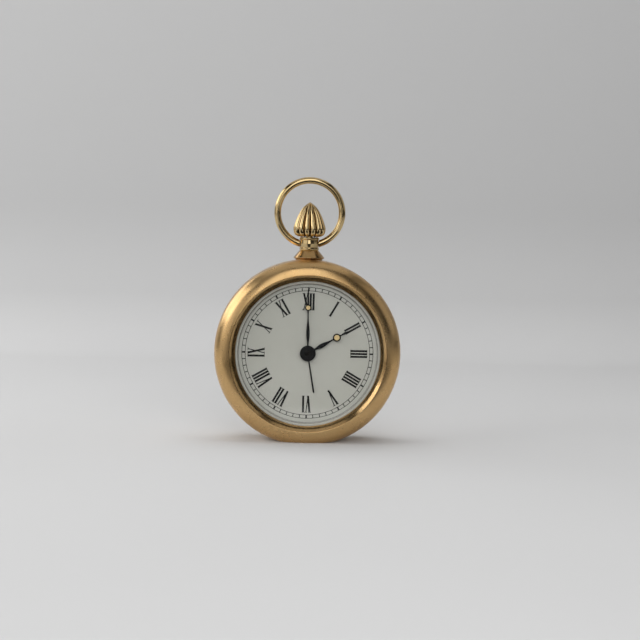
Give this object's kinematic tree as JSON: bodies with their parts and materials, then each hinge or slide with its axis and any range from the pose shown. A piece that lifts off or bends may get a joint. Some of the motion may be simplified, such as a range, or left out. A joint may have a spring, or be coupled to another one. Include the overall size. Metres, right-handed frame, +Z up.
{
  "type": "desk clock",
  "caption": "Wind-up alarm desk clock in pocket-watch form: round brass case on a flat foot, white Roman dial, three hands, fluted finial and swinging bow.",
  "frame": {"origin": "middle of the flat foot, under the middle plane of the case", "axes": "+Z up, the dial faces -Y, +X to the right as seen from the front"},
  "size_m": [0.0798, 0.0385, 0.1136],
  "materials": {
    "case_brass": "satin, lightly worn",
    "polished_brass": "polished",
    "movement_brass": "brushed",
    "steel": "turned",
    "spring_steel": "blued",
    "dial_white": "matt enamel with plain black numerals",
    "hand_black": "satin",
    "lume": "aged luminous paste",
    "crystal": "clear, polished"
  },
  "bodies": {
    "case": {"case_body": "case_brass", "crystal": "crystal", "crystal_ring": "steel", "dial": "dial_white", "movement_ring": "movement_brass", "front_plate": "movement_brass", "back_plate": "movement_brass", "pillar_1": "movement_brass", "pillar_2": "movement_brass", "pillar_3": "movement_brass", "pillar_4": "movement_brass", "pillar_nut_1": "steel", "pillar_nut_2": "steel", "pillar_nut_3": "steel", "pillar_nut_4": "steel", "plate_screw_1": "steel", "plate_screw_2": "steel", "plate_screw_3": "steel", "back_cover": "case_brass", "cover_screw_1": "steel", "cover_screw_2": "steel", "cover_screw_3": "steel", "time_mainspring": "spring_steel", "alarm_mainspring": "spring_steel", "hairspring": "spring_steel", "strike_post": "steel", "pendant": "polished_brass", "pendant_nut": "steel", "finial": "polished_brass"},
    "minute_works": {"minute_arbor": "steel", "minute_hand": "hand_black", "minute_lume": "lume", "hand_nut": "hand_black", "hand_set_knob": "polished_brass"},
    "hour_works": {"hour_wheel": "movement_brass", "hour_hand": "hand_black", "hour_lume": "lume"},
    "minute_wheel": {"minute_wheel": "movement_brass"},
    "alarm_hand_works": {"alarm_wheel": "movement_brass", "alarm_hand": "hand_black"},
    "alarm_setting": {"alarm_set_arbor": "steel", "alarm_set_knob": "polished_brass"},
    "time_winding": {"time_winding_arbor": "steel", "time_key": "polished_brass"},
    "alarm_winding": {"alarm_winding_arbor": "steel", "alarm_key": "polished_brass"},
    "escape_wheel": {"escape_wheel": "steel"},
    "fourth_wheel": {"fourth_wheel": "movement_brass"},
    "third_wheel": {"third_wheel": "movement_brass"},
    "centre_wheel": {"centre_wheel": "movement_brass"},
    "time_great_wheel": {"time_great_wheel": "movement_brass"},
    "pallet_lever": {"pallet_lever": "steel"},
    "balance": {"balance_wheel": "movement_brass"},
    "regulator": {"regulator": "steel"},
    "strike_wheel": {"strike_wheel": "movement_brass"},
    "alarm_great_wheel": {"alarm_great_wheel": "movement_brass"},
    "hammer": {"alarm_hammer": "steel"},
    "stop_button": {"stop_button": "polished_brass"},
    "bow": {"bow": "polished_brass"}
  },
  "joints": [
    {"name": "minute_hand_turn", "type": "hinge", "parent": "case", "child": "minute_works", "pos_m": [0, 0, 0.0382], "axis": [0, 1, 0], "continuous": true},
    {"name": "hour_hand_turn", "type": "hinge", "parent": "case", "child": "hour_works", "pos_m": [0, 0, 0.0382], "axis": [0, 1, 0], "continuous": true},
    {"name": "minute_wheel_turn", "type": "hinge", "parent": "case", "child": "minute_wheel", "pos_m": [0.0046, 0, 0.04205], "axis": [0, 1, 0], "continuous": true},
    {"name": "alarm_hand_turn", "type": "hinge", "parent": "case", "child": "alarm_hand_works", "pos_m": [0, 0, 0.0382], "axis": [0, 1, 0], "continuous": true},
    {"name": "alarm_set_turn", "type": "hinge", "parent": "case", "child": "alarm_setting", "pos_m": [0, 0, 0.02974], "axis": [0, 1, 0], "continuous": true},
    {"name": "time_key_turn", "type": "hinge", "parent": "case", "child": "time_winding", "pos_m": [-0.01118, 0, 0.03456], "axis": [0, 1, 0], "range_deg": [0, 1800]},
    {"name": "alarm_key_turn", "type": "hinge", "parent": "case", "child": "alarm_winding", "pos_m": [0.01274, 0, 0.03406], "axis": [0, 1, 0], "range_deg": [0, 1800]},
    {"name": "escape_wheel_turn", "type": "hinge", "parent": "case", "child": "escape_wheel", "pos_m": [-0.00471, 0, 0.05367], "axis": [0, 1, 0], "continuous": true},
    {"name": "fourth_wheel_turn", "type": "hinge", "parent": "case", "child": "fourth_wheel", "pos_m": [-0.00374, 0, 0.04814], "axis": [0, 1, 0], "continuous": true},
    {"name": "third_wheel_turn", "type": "hinge", "parent": "case", "child": "third_wheel", "pos_m": [0.0021, 0, 0.04602], "axis": [0, 1, 0], "continuous": true},
    {"name": "centre_wheel_turn", "type": "hinge", "parent": "case", "child": "centre_wheel", "pos_m": [0, 0, 0.0382], "axis": [0, 1, 0], "continuous": true},
    {"name": "time_great_wheel_turn", "type": "hinge", "parent": "case", "child": "time_great_wheel", "pos_m": [-0.01118, 0, 0.03456], "axis": [0, 1, 0], "continuous": true},
    {"name": "pallet_lever_rock", "type": "hinge", "parent": "case", "child": "pallet_lever", "pos_m": [0.00011, 0, 0.05452], "axis": [0, 1, 0], "range_deg": [-5, 5]},
    {"name": "balance_swing", "type": "hinge", "parent": "case", "child": "balance", "pos_m": [0.0074, 0, 0.05581], "axis": [0, 1, 0], "range_deg": [-220, 220], "stiffness_Nm_per_rad": 0.0000008},
    {"name": "regulator_swing", "type": "hinge", "parent": "case", "child": "regulator", "pos_m": [0.0074, 0, 0.05581], "axis": [0, 1, 0], "range_deg": [-20, 20]},
    {"name": "strike_wheel_turn", "type": "hinge", "parent": "case", "child": "strike_wheel", "pos_m": [0.01862, 0, 0.04424], "axis": [0, 1, 0], "continuous": true},
    {"name": "alarm_great_wheel_turn", "type": "hinge", "parent": "case", "child": "alarm_great_wheel", "pos_m": [0.01274, 0, 0.03406], "axis": [0, 1, 0], "continuous": true},
    {"name": "hammer_rock", "type": "hinge", "parent": "case", "child": "hammer", "pos_m": [0.01807, 0, 0.05062], "axis": [0, 1, 0], "range_deg": [-8, 9.5], "stiffness_Nm_per_rad": 0.0005},
    {"name": "stop_button_push", "type": "slide", "parent": "case", "child": "stop_button", "axis": [0, 1, 0], "range_m": [-0.0025, 0]},
    {"name": "bow_swing", "type": "hinge", "parent": "case", "child": "bow", "pos_m": [0, 0, 0.08494], "axis": [1, 0, 0], "range_deg": [-120, 120]}
  ],
  "couplings": [
    {"joint": "hour_hand_turn", "follows": "minute_hand_turn", "ratio": 0.083333},
    {"joint": "minute_wheel_turn", "follows": "minute_hand_turn", "ratio": -0.33333},
    {"joint": "alarm_hand_turn", "follows": "alarm_set_turn", "ratio": -0.2},
    {"joint": "fourth_wheel_turn", "follows": "escape_wheel_turn", "ratio": -0.13333},
    {"joint": "third_wheel_turn", "follows": "escape_wheel_turn", "ratio": 0.02},
    {"joint": "centre_wheel_turn", "follows": "escape_wheel_turn", "ratio": -0.0025},
    {"joint": "time_great_wheel_turn", "follows": "escape_wheel_turn", "ratio": 0.00041667},
    {"joint": "alarm_great_wheel_turn", "follows": "strike_wheel_turn", "ratio": -0.16667}
  ]
}
